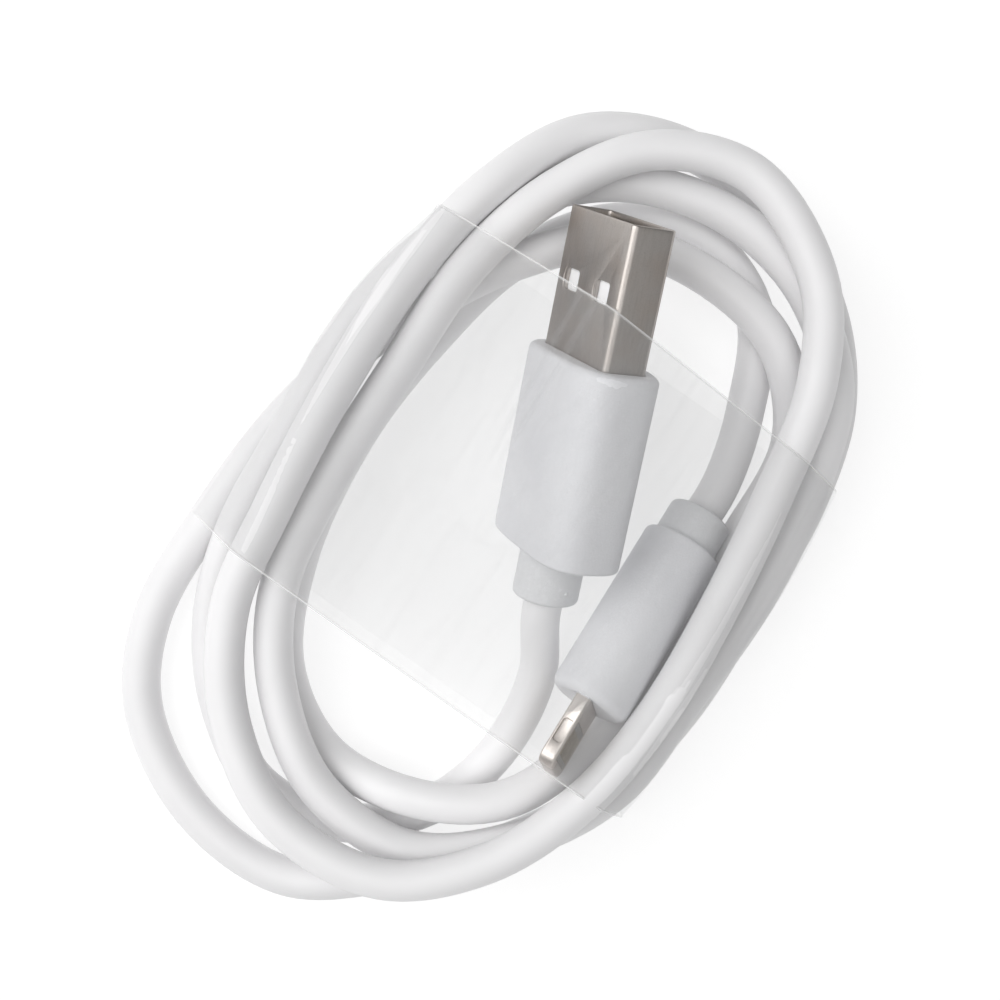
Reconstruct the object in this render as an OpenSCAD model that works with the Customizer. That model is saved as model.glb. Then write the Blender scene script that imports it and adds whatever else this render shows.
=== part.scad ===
// Charging cable: a thin cord with a wide flat plug at one end and a small reversible plug
// with eight contacts on each face at the other. It is wound in an oval coil of about four
// and a half turns, and a band of clear film holds the coil. It lies flat, Z up, with the
// oval's long axis along X and the origin under its middle.

/* [Cord] */
// Outside diameter of the cord
cord_d = 3.8; // [3.4:0.1:3.8]
// Wall of the outer jacket
jacket_wall = 0.5; // [0.35:0.05:0.5]
// Wall of the foil and braid shield under the jacket
shield_wall = 0.1; // [0.05:0.05:0.15]
// Diameter over the insulation of each of the four wires
wire_d = 0.9; // [0.6:0.05:0.95]

/* [Wide plug] */
// Width of the metal shell
shell_w = 12; // [12:0.05:12.1]
// Height of the metal shell
shell_h = 4.5; // [4.4:0.05:4.5]
// Thickness of the shell's rolled sheet
shell_wall = 0.3; // [0.25:0.05:0.35]
// Length of shell that stands out of the grip
shell_reach = 13; // [12:0.25:14]
// Whole length of the shell
shell_l = 18.75; // [18.5:0.25:19]
// Width of the grip
usb_grip_w = 15.6; // [15.2:0.1:16.4]
// Height of the grip
usb_grip_h = 8.6; // [8.4:0.1:9]
// Length of the grip
usb_grip_l = 18.5; // [18:0.5:20]
// Length of the strain relief behind the grip
usb_relief_l = 5; // [4:0.5:7]

/* [Phone plug] */
// Width of the tab
tab_w = 6.7; // [6.6:0.05:6.75]
// Thickness of the tab
tab_t = 1.5; // [1.45:0.05:1.55]
// Length of tab that stands out of the grip
tab_l = 7.1; // [6.8:0.1:7.7]
// Diameter of the grip
phone_grip_d = 8; // [8:0.1:8.4]
// Length of the grip
phone_grip_l = 18.2; // [17:0.2:19]
// Length of the strain relief behind the grip
phone_relief_l = 3.6; // [3.6:0.2:6]

/* [Film band] */
// Width of the band along the coil
film_w = 37.5; // [30:0.5:38]
// Thickness of the film
film_t = 0.1; // [0.08:0.02:0.12]

/* [Hidden] */
$fn = 64;

white = [0.95, 0.95, 0.96];
grip_grey = [0.88, 0.89, 0.91];
steel = [0.62, 0.6, 0.58];
gold = [0.85, 0.68, 0.35];
solder = [0.75, 0.76, 0.78];
joint_gap = 0.05;

// Places of the plugs: the middle of the shell's mouth and the middle of the tab's tip, then
// the roll about the plug's own axis, the rise of that axis, and its bearing about Z.
usb_mouth = [29, 7.5, 16];
usb_roll = -62;
usb_rise = 15.5;
usb_bearing = 24;
phone_tip = [-16, -16, 10.2];
phone_roll = -72;
phone_rise = 14;
phone_bearing = 182;

function turn_x(p, a) = [p[0], p[1] * cos(a) - p[2] * sin(a), p[1] * sin(a) + p[2] * cos(a)];
function turn_y(p, a) = [p[0] * cos(a) + p[2] * sin(a), p[1], p[2] * cos(a) - p[0] * sin(a)];
function turn_z(p, a) = [p[0] * cos(a) - p[1] * sin(a), p[0] * sin(a) + p[1] * cos(a), p[2]];
function from_usb(p) =
    usb_mouth + turn_z(turn_y(turn_x(p, usb_roll), -usb_rise), usb_bearing);
function from_phone(p) =
    phone_tip + turn_z(turn_y(turn_x(p, phone_roll), -phone_rise), phone_bearing);

// Stations along the wide plug's axis, measured back from the mouth
usb_cord_start = 27.5;
usb_relief_start = 29;
usb_grip_end = shell_reach + usb_grip_l;
usb_relief_end = usb_grip_end + usb_relief_l;
usb_tail_end = 20.5;
usb_wire_start = 21.2;

// Stations along the phone plug's axis, measured back from the tip
phone_cord_start = 21;
phone_relief_start = 22.5;
phone_grip_end = tab_l + phone_grip_l;
phone_relief_end = phone_grip_end + phone_relief_l;
phone_board_end = 15.4;
phone_wire_start = 14.6;

// Route of the cord's middle line, from the wide plug to the phone plug
route = concat(
    [for (x = [usb_cord_start, 33, 38.5]) from_usb([-x, 0, 0])],
    // out of the plug, under the coil and round its near end
    [[-10, -10.8, 3.4], [-18, -12, 2.2], [-26, -10, 2], [-33, -3.5, 2], [-34.5, 5.5, 2],
    [-30.5, 13, 2], [-24, 18.5, 2.2]],
    // first turn
    [[-15, 21.5, 4.2], [-3, 22.5, 5.8], [8, 23.2, 6.4], [18, 21.5, 6.4], [27, 17, 5.6],
    [34, 9.5, 5.8], [37, 0, 5.8], [35.5, -10, 5.8], [29.5, -18, 5.8], [21, -21.5, 5.8],
    [9, -23.5, 5.8], [-3.5, -23.5, 5.8], [-14.5, -23, 5.8], [-24, -18, 5.8],
    [-30.5, -10, 6.2], [-30.5, 0.5, 6.8], [-25, 9, 6.8]],
    // second turn, the highest
    [[-17, 14.5, 6.6], [-6, 16.5, 6.8], [6.5, 17, 8.2], [18, 17, 9.8], [28.5, 14.5, 9.8],
    [37, 9, 9.8], [40.5, 0, 9.8], [36, -10.5, 9.8], [28, -16, 9.8], [18, -18.5, 9.8],
    [6, -20.5, 9.8], [-6, -21.5, 9.8], [-16.5, -20.5, 9.8], [-26.5, -16.5, 9.8],
    [-33.5, -9, 9.8], [-34.5, 2, 9.4], [-29.5, 11, 8.8]],
    // third turn, which sinks to the outside
    [[-21, 17, 8.8], [-11, 19, 9.4], [1.5, 20.5, 10.2], [14.5, 21, 10.4], [25.5, 19.5, 10],
    [35, 15.5, 7.4], [40, 7.5, 5], [40.5, -3.5, 2.4], [36, -13.5, 2], [28.5, -20, 2],
    [19, -23, 2], [7.5, -24, 2], [-5, -24.5, 2], [-16.5, -22.5, 2], [-26, -17.5, 2],
    [-34, -10.5, 2], [-40.5, -2, 2], [-40.5, 9, 2], [-35, 19, 2]],
    // fourth turn, which passes under the others to the inside
    [[-27, 23.5, 2], [-15, 24.5, 2], [-3, 24, 2], [8, 21.2, 2.6], [14.5, 18, 5.2],
    [21.5, 14, 5.8], [28.5, 7.5, 5.8], [31, -1.5, 5.8], [29.5, -11, 6], [23, -18, 3.2],
    [11.5, -19.5, 2], [0.5, -20, 2], [-11, -19, 3.4], [-21, -15, 6.4], [-26.2, -7.5, 6],
    [-28, 2, 2.6], [-23.5, 10, 2]],
    // last half turn, on the floor
    [[-14, 15, 2], [-1, 17.3, 2], [11, 16.8, 2], [22, 14.5, 2], [30.5, 9, 2], [34.5, 0.5, 2],
    [31.5, -8, 2], [23, -12.8, 2]],
    [for (x = [33, 27, phone_cord_start]) from_phone([-x, 0, 0])]);

// Outline of the film band across the coil, as Y and Z, starting at the floor
film_outline = [[25.3, 0], [26.8, 2], [27, 3.5], [23.5, 12.4], [4.5, 20.4], [-1, 20.5],
    [-24, 12.2], [-27, 3.5], [-26.8, 2], [-25.3, 0]];
film_x = 2.5;

cord_sides = 8;
wire_sides = 6;
cord_r = cord_d / 2;
shield_r = cord_r - jacket_wall;
core_r = shield_r - shield_wall;
wire_shift = wire_d / 2 + 0.04;
cord_bore_r = cord_r + joint_gap;

// ---- sweeps -------------------------------------------------------------------------------

function unit(v) = v / norm(v);
function heading(path, i) =
    unit(path[min(i + 1, len(path) - 1)] - path[max(i - 1, 0)]);
function sideways(path, i) = unit(cross([0, 0, 1], heading(path, i)));
function upwards(path, i) = cross(heading(path, i), sideways(path, i));

// A ring of n points of radius r round each point of the path, one ring after another
function rings(path, r, n) = [for (i = [0 : len(path) - 1]) for (k = [0 : n - 1])
    let (a = 360 * (k + 0.5) / n)
    path[i] + r * cos(a) * sideways(path, i) + r * sin(a) * upwards(path, i)];

// The triangles that join the rings. A flipped skin faces inwards.
function skin(count, n, first = 0, flip = false) =
    [for (i = [0 : count - 2]) for (k = [0 : n - 1])
    let (a = first + i * n + k, b = first + i * n + (k + 1) % n)
    for (t = [[a, a + n, b + n], [a, b + n, b]]) flip ? [t[2], t[1], t[0]] : t];

// A solid rod along the path
module rod(path, r, n) {
    count = len(path);
    last = (count - 1) * n;
    caps = [[for (k = [0 : n - 1]) k], [for (k = [n - 1 : -1 : 0]) last + k]];
    polyhedron(points = rings(path, r, n), faces = concat(skin(count, n), caps));
}

// A hollow tube along the path
module tube(path, r_out, r_in, n) {
    count = len(path);
    inner = count * n;
    last = (count - 1) * n;
    start_cap = [for (k = [0 : n - 1]) let (j = (k + 1) % n)
        for (t = [[k, j, inner + j], [k, inner + j, inner + k]]) t];
    end_cap = [for (k = [0 : n - 1]) let (j = (k + 1) % n)
        for (t = [[last + k, inner + last + j, last + j],
        [last + k, inner + last + k, inner + last + j]]) t];
    polyhedron(points = concat(rings(path, r_out, n), rings(path, r_in, n)),
        faces = concat(skin(count, n), skin(count, n, inner, true), start_cap, end_cap));
}

// Middle line of one wire: its pad in the wide plug, its place in the cord, its other pad
function wire_route(side, up, usb_pad, phone_pad) = concat(
    [from_usb(usb_pad), from_usb([usb_pad[0] - 1.6, usb_pad[1], usb_pad[2]])],
    [for (i = [0 : len(route) - 1])
        route[i] + side * wire_shift * sideways(route, i) + up * wire_shift * upwards(route, i)],
    [from_phone([phone_pad[0] - 1.6, phone_pad[1], phone_pad[2]]), from_phone(phone_pad)]);

module wire(side, up, usb_y, phone_y, phone_z) {
    rod(wire_route(side, up, [-usb_wire_start, usb_y, usb_pad_z],
        [-phone_wire_start, phone_y, phone_z]), wire_d / 2, wire_sides);
}

// ---- shared shapes ------------------------------------------------------------------------

module in_usb() {
    translate(usb_mouth)
        rotate([usb_roll, -usb_rise, usb_bearing])
            children();
}

module in_phone() {
    translate(phone_tip)
        rotate([phone_roll, -phone_rise, phone_bearing])
            children();
}

// A bar with a rounded section, from x_near back to x_far along the plug's axis
module bar(x_near, x_far, w, h, r) {
    translate([-x_far, 0, 0])
        rotate([90, 0, 90])
            linear_extrude(x_far - x_near)
                union() {
                    square([w - 2 * r, h], center = true);
                    square([w, h - 2 * r], center = true);
                    for (x = [-1, 1])
                        for (y = [-1, 1])
                            translate([x * (w / 2 - r), y * (h / 2 - r)])
                                circle(r);
                }
}

// A plain block between two stations, centred on y and z
module block(x_near, x_far, w, h, y = 0, z = 0) {
    translate([-(x_near + x_far) / 2, y, z])
        cube([x_far - x_near, w, h], center = true);
}

// A round bar between two stations
module round_bar(x_near, x_far, r) {
    translate([-x_far, 0, 0])
        rotate([0, 90, 0])
            cylinder(h = x_far - x_near, r = r);
}

// A strain relief: a flange that the grip holds, and a collar round the cord
module relief(x_flange, x_grip_end, x_end, flange_r, r) {
    edge = 0.4;
    difference() {
        union() {
            round_bar(x_flange, x_grip_end - grip_lip - joint_gap, flange_r);
            round_bar(x_flange, x_end - edge, r);
            translate([-x_end, 0, 0])
                rotate([0, 90, 0])
                    cylinder(h = edge, r1 = r - edge, r2 = r);
        }
        round_bar(x_flange - 1, x_end + 1, cord_bore_r);
    }
}

// ---- cord ---------------------------------------------------------------------------------

module cord_jacket() {
    color(white)
        tube(route, cord_r, shield_r + 0.01, cord_sides);
}

module cord_shield() {
    color(solder)
        tube(route, shield_r, core_r, cord_sides);
}

module vbus_wire() {
    color("red")
        wire(1, 1, -contact_outer_y, pad_y, pad_z);
}

module data_minus_wire() {
    color("white")
        wire(-1, 1, -contact_inner_y, -pad_y, pad_z);
}

module data_plus_wire() {
    color("green")
        wire(1, -1, contact_inner_y, pad_y, -pad_z);
}

module ground_wire() {
    color([0.12, 0.12, 0.12])
        wire(-1, -1, contact_outer_y, -pad_y, -pad_z);
}

// ---- wide plug ----------------------------------------------------------------------------

contact_outer_y = 3.5;
contact_inner_y = 1;
contact_w = 1;
contact_t = 0.2;
tongue_h = shell_h / 2 - shell_wall - joint_gap;
insulator_w = shell_w - 2 * shell_wall - 2 * joint_gap;
tongue_end = 12;
insulator_end = 17.5;
window_y = 2.85;
window_x = 6.5;
window_w = 2.3;
window_l = 2;
usb_pad_z = -contact_t - wire_d / 2;
usb_cavity_start = shell_reach + 1;
usb_mould_w = 13.2;
usb_mould_h = 6.4;
grip_lip = 0.5;
relief_r = 3.2;
flange_r = 3.5;

module usb_shell() {
    color(steel)
        in_usb()
            difference() {
                bar(0, shell_l, shell_w, shell_h, 0.6);
                bar(-1, shell_l + 1, shell_w - 2 * shell_wall, shell_h - 2 * shell_wall, 0.3);
                for (y = [-window_y, window_y])
                    block(window_x - window_l / 2, window_x + window_l / 2, window_w,
                        2 * shell_h, y);
            }
}

module usb_insulator() {
    color("white")
        in_usb()
            difference() {
                union() {
                    block(0.4, tongue_end, insulator_w, tongue_h, 0, tongue_h / 2);
                    block(tongue_end, insulator_end, insulator_w, 2 * tongue_h);
                }
                for (y = [-contact_outer_y, -contact_inner_y, contact_inner_y, contact_outer_y])
                    block(tongue_end - 1, insulator_end + 1, contact_w + 2 * joint_gap,
                        contact_t + joint_gap, y, -(contact_t + joint_gap) / 2);
            }
}

// One contact: a flat strip along the tongue, with its tail out of the insulator
module usb_contact(y, x_near) {
    color(gold)
        in_usb()
            block(x_near, usb_tail_end, contact_w, contact_t, y, -contact_t / 2);
}

module usb_contact_vbus() {
    usb_contact(-contact_outer_y, 1);
}

module usb_contact_data_minus() {
    usb_contact(-contact_inner_y, 2);
}

module usb_contact_data_plus() {
    usb_contact(contact_inner_y, 2);
}

module usb_contact_ground() {
    usb_contact(contact_outer_y, 1);
}

// The comb under the contacts' tails keeps the soldered wires apart
module usb_wire_comb() {
    plate_h = 1.3;
    rib_h = 1.6;
    color([0.9, 0.9, 0.85])
        in_usb()
            union() {
                block(insulator_end + joint_gap, usb_wire_start, 10.4, plate_h, 0, plate_h / 2);
                for (y = [-2.25, 0, 2.25])
                    block(insulator_end + joint_gap, usb_wire_start, 0.4, rib_h, y,
                        plate_h - rib_h / 2);
            }
}

module usb_solder_joints() {
    joint_r = 0.55;
    color(solder)
        in_usb()
            for (y = [-contact_outer_y, -contact_inner_y, contact_inner_y, contact_outer_y])
                translate([-usb_tail_end + joint_r / 2, y, -contact_t])
                    rotate([180, 0, 0])
                        difference() {
                            sphere(r = joint_r);
                            translate([-1, -1, -2])
                                cube([2, 2, 2]);
                        }
}

module usb_inner_mould() {
    color([0.85, 0.86, 0.88])
        in_usb()
            difference() {
                bar(usb_cavity_start, usb_relief_start, usb_mould_w, usb_mould_h, 2.4);
                block(usb_cavity_start - 1, usb_cord_start - 1, shell_w + 2 * joint_gap,
                    shell_h + 2 * joint_gap);
                round_bar(usb_cord_start - 2, usb_relief_start + 1, cord_bore_r);
            }
}

module usb_overmould() {
    edge = 0.5;
    r = 3.6;
    color(grip_grey)
        in_usb()
            difference() {
                hull() {
                    bar(shell_reach, usb_grip_end, usb_grip_w - 2 * edge, usb_grip_h - 2 * edge,
                        r - edge, $fn = 48);
                    bar(shell_reach + edge, usb_grip_end - edge, usb_grip_w, usb_grip_h, r,
                        $fn = 48);
                }
                block(shell_reach - 1, usb_cavity_start + 1, shell_w + 2 * joint_gap,
                    shell_h + 2 * joint_gap);
                bar(usb_cavity_start - joint_gap, usb_relief_start + joint_gap,
                    usb_mould_w + 2 * joint_gap, usb_mould_h + 2 * joint_gap, 2.4);
                round_bar(usb_relief_start - 1, usb_grip_end - grip_lip, flange_r + joint_gap);
                round_bar(usb_relief_start, usb_grip_end + 1, relief_r + joint_gap);
            }
}

module usb_strain_relief() {
    color(grip_grey)
        in_usb()
            relief(usb_relief_start + 2 * joint_gap, usb_grip_end, usb_relief_end, flange_r,
                relief_r);
}

// ---- phone plug ---------------------------------------------------------------------------

frame_end = 9.8;
frame_w = 6.4;
frame_h = 2.4;
field_near = 0.9;
field_far = 4.9;
field_w = 5.6;
channel_w = 5.2;
board_t = 0.7;
board_w = 5;
pad_y = 1.25;
pad_z = board_t / 2 + wire_d / 2;
pin_count = 8;
pin_pitch = 0.68;
pin_near = 1.5;
pin_w = 0.44;
pin_l = 2.6;
pin_t = 0.25;
can_w = 5.6;
can_h = 3.4;
can_wall = 0.2;
can_hole_r = 1.4;
can_near = 9.9;
can_far = 20.4;
phone_mould_r = 3.5;

module phone_tab_frame() {
    tip_r = 1.1;
    notch_near = 2.2;
    notch_far = 4.6;
    notch_h = 1;
    notch_depth = 0.35;
    color(steel)
        in_phone()
            difference() {
                union() {
                    translate([-tab_l, 0, 0])
                        linear_extrude(tab_t, center = true)
                            union() {
                                translate([0, -tab_w / 2])
                                    square([tab_l - tip_r, tab_w]);
                                translate([0, -tab_w / 2 + tip_r])
                                    square([tab_l, tab_w - 2 * tip_r]);
                                for (y = [-1, 1])
                                    translate([tab_l - tip_r, y * (tab_w / 2 - tip_r)])
                                        circle(tip_r);
                            }
                    bar(tab_l, frame_end, frame_w, frame_h, 0.3);
                }
                block(field_near, field_far, field_w, 2 * tab_t);
                block(field_far - 1, frame_end + 1, channel_w, board_t + 2 * joint_gap);
                for (y = [-1, 1])
                    block(notch_near, notch_far, 2 * notch_depth, notch_h, y * tab_w / 2);
            }
}

// The row of pins on one face, grown all round by gap
module pin_row(gap = 0) {
    first = -(pin_count - 1) / 2 * pin_pitch;
    for (i = [0 : pin_count - 1])
        block(pin_near - gap, pin_near + pin_l + gap, pin_w + 2 * gap, pin_t + 2 * gap,
            first + i * pin_pitch, tab_t / 2 - pin_t / 2 + gap);
}

module phone_contact_insulator() {
    color([0.93, 0.93, 0.92])
        in_phone()
            difference() {
                block(field_near + joint_gap, field_far - joint_gap, field_w - 2 * joint_gap,
                    tab_t - 0.06);
                for (side = [0, 180])
                    rotate([side, 0, 0])
                        pin_row(0.01);
            }
}

module phone_contacts_upper() {
    color(gold)
        in_phone()
            pin_row();
}

module phone_contacts_lower() {
    color(gold)
        in_phone()
            rotate([180, 0, 0])
                pin_row();
}

module phone_circuit_board() {
    color([0.1, 0.35, 0.2])
        in_phone()
            block(field_far, phone_board_end, board_w, board_t);
}

module phone_control_chip() {
    chip_near = 10.4;
    chip_side = 2.6;
    chip_t = 0.8;
    color([0.1, 0.1, 0.1])
        in_phone()
            block(chip_near, chip_near + chip_side, chip_side, chip_t, 0,
                (board_t + chip_t) / 2);
}

// Capacitors and resistors beside the chip, and a row on the board's other face
module phone_small_components() {
    l = 1;
    w = 0.5;
    z = (board_t + w) / 2;
    beside_chip_y = 1.9;
    row_y = 1.2;
    color([0.6, 0.5, 0.4])
        in_phone()
            union() {
                for (x = [10.9, 12.4])
                    for (y = [-beside_chip_y, beside_chip_y])
                        block(x - l / 2, x + l / 2, w, w, y, z);
                for (x = [10.6, 11.9])
                    for (y = [-row_y, 0, row_y])
                        block(x - l / 2, x + l / 2, w, w, y, -z);
            }
}

module phone_solder_joints() {
    joint_r = 0.55;
    color(solder)
        in_phone()
            for (side = [0, 180])
                for (y = [-pad_y, pad_y])
                    rotate([side, 0, 0])
                        translate([-phone_wire_start + joint_r + 0.02, y, board_t / 2])
                            difference() {
                                sphere(r = joint_r);
                                translate([-1, -1, -2])
                                    cube([2, 2, 2]);
                            }
}

// One half of the folded metal can round the circuit board
module can_half() {
    difference() {
        block(can_near, can_far, can_w, can_h / 2, 0, can_h / 4 + 0.01);
        block(can_near - 1, can_far - can_wall, can_w - 2 * can_wall, can_h - 2 * can_wall);
        round_bar(can_far - 1, can_far + 1, can_hole_r);
    }
}

module phone_shield_upper() {
    color(steel)
        in_phone()
            can_half();
}

module phone_shield_lower() {
    color(steel)
        in_phone()
            rotate([180, 0, 0])
                can_half();
}

module phone_inner_mould() {
    color([0.85, 0.86, 0.88])
        in_phone()
            difference() {
                round_bar(can_near, phone_relief_start, phone_mould_r);
                block(can_near - 1, can_far + joint_gap, can_w + 2 * joint_gap,
                    can_h + 2 * joint_gap);
                round_bar(can_far - 1, phone_relief_start + 1, cord_bore_r);
            }
}

module phone_overmould() {
    edge = 0.5;
    r = phone_grip_d / 2;
    color(grip_grey)
        in_phone()
            difference() {
                union() {
                    round_bar(tab_l + edge, phone_grip_end - edge, r);
                    for (x = [tab_l + edge, phone_grip_end - edge])
                        translate([-x, 0, 0])
                            rotate([0, 90, 0])
                                rotate_extrude()
                                    union() {
                                        translate([0, -edge])
                                            square([r - edge, 2 * edge]);
                                        translate([r - edge, 0])
                                            circle(edge);
                                    }
                }
                block(tab_l - 1, tab_l + 1, tab_w + 2 * joint_gap, tab_t + 2 * joint_gap);
                block(tab_l + grip_lip, frame_end + joint_gap, frame_w + 2 * joint_gap,
                    frame_h + 2 * joint_gap);
                round_bar(frame_end, phone_relief_start + joint_gap,
                    phone_mould_r + joint_gap);
                round_bar(phone_relief_start - 1, phone_grip_end - grip_lip,
                    flange_r + joint_gap);
                round_bar(phone_relief_start, phone_grip_end + 1, relief_r + joint_gap);
            }
}

module phone_strain_relief() {
    color(grip_grey)
        in_phone()
            relief(phone_relief_start + 2 * joint_gap, phone_grip_end, phone_relief_end,
                flange_r, relief_r);
}

// ---- film band ----------------------------------------------------------------------------

// The point where two sides of an outline meet once each has moved inwards by t
function inset_point(outline, i, t) =
    let (n = len(outline), p = outline[i])
    let (a = unit(p - outline[(i + n - 1) % n]), b = unit(outline[(i + 1) % n] - p))
    let (na = [-a[1], a[0]], nb = [-b[1], b[0]])
    p + t * (na + nb) / (1 + na * nb);

module film_band() {
    inner = [for (i = [0 : len(film_outline) - 1]) inset_point(film_outline, i, film_t)];
    color([0.9, 0.95, 1, 0.3])
        translate([film_x - film_w / 2, 0, 0])
            rotate([90, 0, 90])
                linear_extrude(film_w)
                    difference() {
                        polygon(film_outline);
                        polygon(inner);
                    }
}

cord_jacket();
cord_shield();
vbus_wire();
ground_wire();
data_plus_wire();
data_minus_wire();
usb_shell();
usb_insulator();
usb_contact_vbus();
usb_contact_data_minus();
usb_contact_data_plus();
usb_contact_ground();
usb_wire_comb();
usb_solder_joints();
usb_inner_mould();
usb_overmould();
usb_strain_relief();
phone_tab_frame();
phone_contact_insulator();
phone_contacts_upper();
phone_contacts_lower();
phone_circuit_board();
phone_control_chip();
phone_small_components();
phone_solder_joints();
phone_shield_upper();
phone_shield_lower();
phone_inner_mould();
phone_overmould();
phone_strain_relief();
film_band();
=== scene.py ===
"""Looks of a wound charging cable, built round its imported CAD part.

Lengths are in metres. The two plugs are built along their own axes, +X out of the plug and
the wide side along Y, and MM turns the drawing's millimetres into metres.
"""

import math

import bmesh
import bpy
import numpy as np
from mathutils import Matrix, Vector


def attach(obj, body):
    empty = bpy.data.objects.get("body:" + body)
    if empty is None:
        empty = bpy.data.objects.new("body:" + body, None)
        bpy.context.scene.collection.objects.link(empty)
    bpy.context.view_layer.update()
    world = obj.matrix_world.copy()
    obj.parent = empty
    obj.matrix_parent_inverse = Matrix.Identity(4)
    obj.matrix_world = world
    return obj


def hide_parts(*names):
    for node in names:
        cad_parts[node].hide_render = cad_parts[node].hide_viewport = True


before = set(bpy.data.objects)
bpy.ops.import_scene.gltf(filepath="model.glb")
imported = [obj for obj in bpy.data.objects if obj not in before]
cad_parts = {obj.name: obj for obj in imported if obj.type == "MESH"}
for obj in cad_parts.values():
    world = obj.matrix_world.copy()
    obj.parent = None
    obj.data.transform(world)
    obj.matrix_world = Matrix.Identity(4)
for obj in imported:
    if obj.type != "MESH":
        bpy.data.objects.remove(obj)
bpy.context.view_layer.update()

MM = 0.001
CORD_D = 3.8 * MM
CORD_R = CORD_D / 2
SHARP_ANGLE = 35

# ---- camera -----------------------------------------------------------------------------

camera_data = bpy.data.cameras.new("camera")
camera_data.sensor_width = 36
camera_data.lens = 54
camera_data.clip_start = 0.005
camera = bpy.data.objects.new("camera", camera_data)
camera.location = (0.002, 0.002, 0.150)
camera.rotation_euler = (0, 0, math.radians(-55))
bpy.context.scene.collection.objects.link(camera)
bpy.context.scene.camera = camera

# ---- where the plugs sit: tip, roll, rise and bearing as in the CAD part -----------------


def plug_place(tip, roll, rise, bearing):
    """Place of a plug: its tip in mm, then its turns about X, Y and Z in degrees."""
    turn = (
        Matrix.Rotation(math.radians(bearing), 4, "Z")
        @ Matrix.Rotation(math.radians(-rise), 4, "Y")
        @ Matrix.Rotation(math.radians(roll), 4, "X")
    )
    return Matrix.Translation(Vector(tip) * MM) @ turn


USB = plug_place((29, 7.5, 16), -62, 15.5, 24)
PHONE = plug_place((-16, -16, 10.2), -72, 14, 182)


def on_plug(place, x, y=0.0, z=0.0):
    """A point of a plug, in mm along its own axes, in the row frame."""
    return np.array(place @ (Vector((x, y, z)) * MM))


# ---- cord -------------------------------------------------------------------------------

# Points on the cord's middle line, as X, Y and height in mm, the same as in the CAD part. Most
# X and Y were picked by hand on the photograph and turned into mm by a scratch script, rounded
# to half a millimetre and shifted; heights were guessed, and some points were moved by hand.
ROUTE_MM = [
    # out of the wide plug, under the coil and round its near end
    (-10, -10.8, 3.4), (-18, -12, 2.2), (-26, -10, 2), (-33, -3.5, 2), (-34.5, 5.5, 2),
    (-30.5, 13, 2), (-24, 18.5, 2.2),
    # first turn
    (-15, 21.5, 4.2), (-3, 22.5, 5.8), (8, 23.2, 6.4), (18, 21.5, 6.4), (27, 17, 5.6),
    (34, 9.5, 5.8), (37, 0, 5.8), (35.5, -10, 5.8), (29.5, -18, 5.8), (21, -21.5, 5.8),
    (9, -23.5, 5.8), (-3.5, -23.5, 5.8), (-14.5, -23, 5.8), (-24, -18, 5.8),
    (-30.5, -10, 6.2), (-30.5, 0.5, 6.8), (-25, 9, 6.8),
    # second turn, the highest
    (-17, 14.5, 6.6), (-6, 16.5, 6.8), (6.5, 17, 8.2), (18, 17, 9.8), (28.5, 14.5, 9.8),
    (37, 9, 9.8), (40.5, 0, 9.8), (36, -10.5, 9.8), (28, -16, 9.8), (18, -18.5, 9.8),
    (6, -20.5, 9.8), (-6, -21.5, 9.8), (-16.5, -20.5, 9.8), (-26.5, -16.5, 9.8),
    (-33.5, -9, 9.8), (-34.5, 2, 9.4), (-29.5, 11, 8.8),
    # third turn, which sinks to the outside
    (-21, 17, 8.8), (-11, 19, 9.4), (1.5, 20.5, 10.2), (14.5, 21, 10.4), (25.5, 19.5, 10),
    (35, 15.5, 7.4), (40, 7.5, 5), (40.5, -3.5, 2.4), (36, -13.5, 2), (28.5, -20, 2),
    (19, -23, 2), (7.5, -24, 2), (-5, -24.5, 2), (-16.5, -22.5, 2), (-26, -17.5, 2),
    (-34, -10.5, 2), (-40.5, -2, 2), (-40.5, 9, 2), (-35, 19, 2),
    # fourth turn, which passes under the others to the inside
    (-27, 23.5, 2), (-15, 24.5, 2), (-3, 24, 2), (8, 21.2, 2.6), (14.5, 18, 5.2),
    (21.5, 14, 5.8), (28.5, 7.5, 5.8), (31, -1.5, 5.8), (29.5, -11, 6), (23, -18, 3.2),
    (11.5, -19.5, 2), (0.5, -20, 2), (-11, -19, 3.4), (-21, -15, 6.4), (-26.2, -7.5, 6),
    (-28, 2, 2.6), (-23.5, 10, 2),
    # last half turn, on the floor
    (-14, 15, 2), (-1, 17.3, 2), (11, 16.8, 2), (22, 14.5, 2), (30.5, 9, 2),
    (34.5, 0.5, 2), (31.5, -8, 2), (23, -12.8, 2),
]
# Where the same line runs inside and just behind each plug, in mm behind its tip.
USB_CORD_STATIONS = (27.5, 33, 38.5)
PHONE_CORD_STATIONS = (33, 27, 21)


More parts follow.
